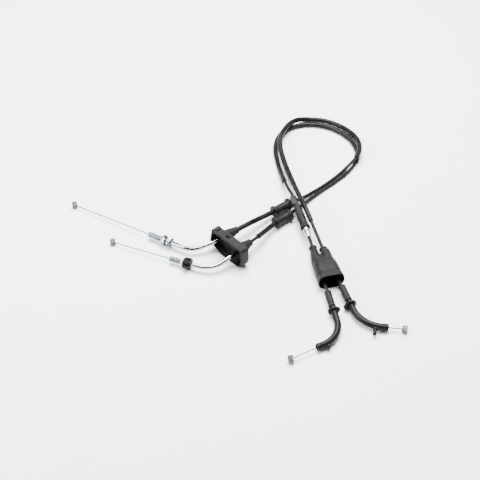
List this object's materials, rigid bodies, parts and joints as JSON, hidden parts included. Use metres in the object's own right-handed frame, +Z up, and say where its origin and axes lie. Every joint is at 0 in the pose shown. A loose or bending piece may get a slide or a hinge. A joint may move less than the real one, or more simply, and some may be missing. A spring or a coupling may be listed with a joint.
{
  "type": "motorcycle throttle cable set",
  "caption": "Pull and return throttle cables with threaded guide tubes, rubber hood, in-line adjuster, grip boot and moulded elbows ending in barrel nipples.",
  "frame": {"origin": "centre of the laid-out set's footprint, on the surface that it lies on", "axes": "+Z up from the surface, +Y along the loop away from the grip ends, -X towards the engine ends"},
  "size_m": [0.4683, 0.4998, 0.0368],
  "materials": {
    "casing_pvc": "satin black extruded sheath",
    "sleeve_pvc": "semi-gloss black soft tubing",
    "liner_plastic": "natural white low-friction plastic",
    "steel_strand": "bright stranded steel",
    "cast_zinc": "die-cast zinc, dull grey",
    "chrome_tube": "polished chrome plate",
    "zinc_thread": "bright zinc plate with a blue passivation",
    "zinc_nut": "bright zinc plate",
    "pale_seal": "pale plastic",
    "moulded_nut": "fine textured black moulding",
    "hood_rubber": "matte moulded rubber",
    "spool_rubber": "satin moulded rubber",
    "boot_rubber": "matte moulded rubber",
    "cap_plastic": "matte dark grey moulding",
    "aluminium_barrel": "turned aluminium",
    "ferrule_plastic": "ribbed black moulding",
    "elbow_plastic": "semi-gloss black moulding"
  },
  "bodies": {
    "cable_set": {"casing_return": "casing_pvc", "casing_pull": "casing_pvc", "casing_pull_grip": "casing_pvc", "engine_sleeve_return": "sleeve_pvc", "engine_sleeve_pull": "sleeve_pvc", "loop_sleeve_return": "sleeve_pvc", "loop_sleeve_pull": "sleeve_pvc", "grip_sleeve_return": "sleeve_pvc", "liner_return": "liner_plastic", "liner_pull": "liner_plastic", "liner_pull_grip": "liner_plastic", "inner_wire_return": "steel_strand", "inner_wire_pull": "steel_strand", "inner_wire_pull_grip": "steel_strand", "guide_tube_return": "chrome_tube", "guide_tube_pull": "chrome_tube", "threaded_end_return": "zinc_thread", "threaded_end_pull": "zinc_thread", "tube_crimp_return": "zinc_thread", "tube_crimp_pull": "zinc_thread", "adjuster_stem": "zinc_nut", "seal_washer": "pale_seal", "throttle_body_hood": "hood_rubber", "guide_spool_return": "spool_rubber", "guide_spool_pull": "spool_rubber", "grip_boot": "boot_rubber", "adjuster_cap": "cap_plastic", "grip_ferrule_return": "ferrule_plastic", "grip_ferrule_pull": "ferrule_plastic"},
    "lock_nut_outer": {"lock_nut_outer": "zinc_nut"},
    "lock_nut_inner": {"lock_nut_inner": "zinc_nut"},
    "retainer_nut": {"retainer_nut": "moulded_nut"},
    "adjuster_lock_nut": {"adjuster_lock_nut": "zinc_nut"},
    "adjuster_barrel": {"adjuster_barrel": "aluminium_barrel", "adjuster_end_ferrule": "aluminium_barrel"},
    "adjuster_boot": {"adjuster_boot": "boot_rubber"},
    "grip_elbow_return": {"grip_elbow_return": "elbow_plastic"},
    "grip_elbow_pull": {"grip_elbow_pull": "elbow_plastic"},
    "grip_wire_return": {"wire_grip_return": "steel_strand", "nipple_grip_return": "cast_zinc"},
    "grip_wire_pull": {"wire_grip_pull": "steel_strand", "nipple_grip_pull": "cast_zinc"},
    "engine_wire_return": {"wire_engine_return": "steel_strand", "nipple_engine_return": "cast_zinc"},
    "engine_wire_pull": {"wire_engine_pull": "steel_strand", "nipple_engine_pull": "cast_zinc"}
  },
  "joints": [
    {"name": "pull_wire_slide", "type": "slide", "parent": "grip_elbow_pull", "child": "grip_wire_pull", "axis": [-0.8778, -0.4787, -0.0167], "range_m": [0, 0.02]},
    {"name": "pull_wire_engine_slide", "type": "slide", "parent": "cable_set", "child": "engine_wire_pull", "axis": [-0.92, 0.3905, -0.034], "range_m": [-0.02, 0]},
    {"name": "return_wire_slide", "type": "slide", "parent": "grip_elbow_return", "child": "grip_wire_return", "axis": [0.9939, -0.1035, -0.038], "range_m": [-0.012, 0.008]},
    {"name": "return_wire_engine_slide", "type": "slide", "parent": "cable_set", "child": "engine_wire_return", "axis": [-0.8701, 0.4922, -0.0239], "range_m": [-0.008, 0.012]},
    {"name": "pull_elbow_swivel", "type": "hinge", "parent": "cable_set", "child": "grip_elbow_pull", "pos_m": [0.1355, -0.1526, 0.00935], "axis": [0.1947, -0.9801, -0.0376], "range_deg": [-90, 90]},
    {"name": "return_elbow_swivel", "type": "hinge", "parent": "cable_set", "child": "grip_elbow_return", "pos_m": [0.15762, -0.14202, 0.00959], "axis": [0.306, -0.9512, -0.0404], "range_deg": [-90, 90]},
    {"name": "outer_lock_nut_travel", "type": "slide", "parent": "cable_set", "child": "lock_nut_outer", "axis": [-0.8701, 0.4922, -0.0239], "range_m": [0, 0.02]},
    {"name": "inner_lock_nut_travel", "type": "slide", "parent": "cable_set", "child": "lock_nut_inner", "axis": [-0.8701, 0.4922, -0.0239], "range_m": [0, 0.003]},
    {"name": "retainer_nut_turn", "type": "hinge", "parent": "cable_set", "child": "retainer_nut", "pos_m": [-0.06128, -0.07729, 0.00855], "axis": [0.92, -0.3905, 0.034], "continuous": true},
    {"name": "adjuster_lock_nut_travel", "type": "slide", "parent": "cable_set", "child": "adjuster_lock_nut", "axis": [-0.2431, 0.9676, 0.0682], "range_m": [0, 0.01]},
    {"name": "adjuster_barrel_turn", "type": "hinge", "parent": "cable_set", "child": "adjuster_barrel", "pos_m": [0.10559, -0.01256, 0.01641], "axis": [0.2431, -0.9676, -0.0682], "continuous": true},
    {"name": "adjuster_boot_slide", "type": "slide", "parent": "cable_set", "child": "adjuster_boot", "axis": [0.2431, -0.9676, -0.0682], "range_m": [0, 0.025]}
  ],
  "couplings": [
    {"joint": "pull_wire_engine_slide", "follows": "pull_wire_slide", "ratio": -1},
    {"joint": "return_wire_engine_slide", "follows": "return_wire_slide", "ratio": -1}
  ]
}
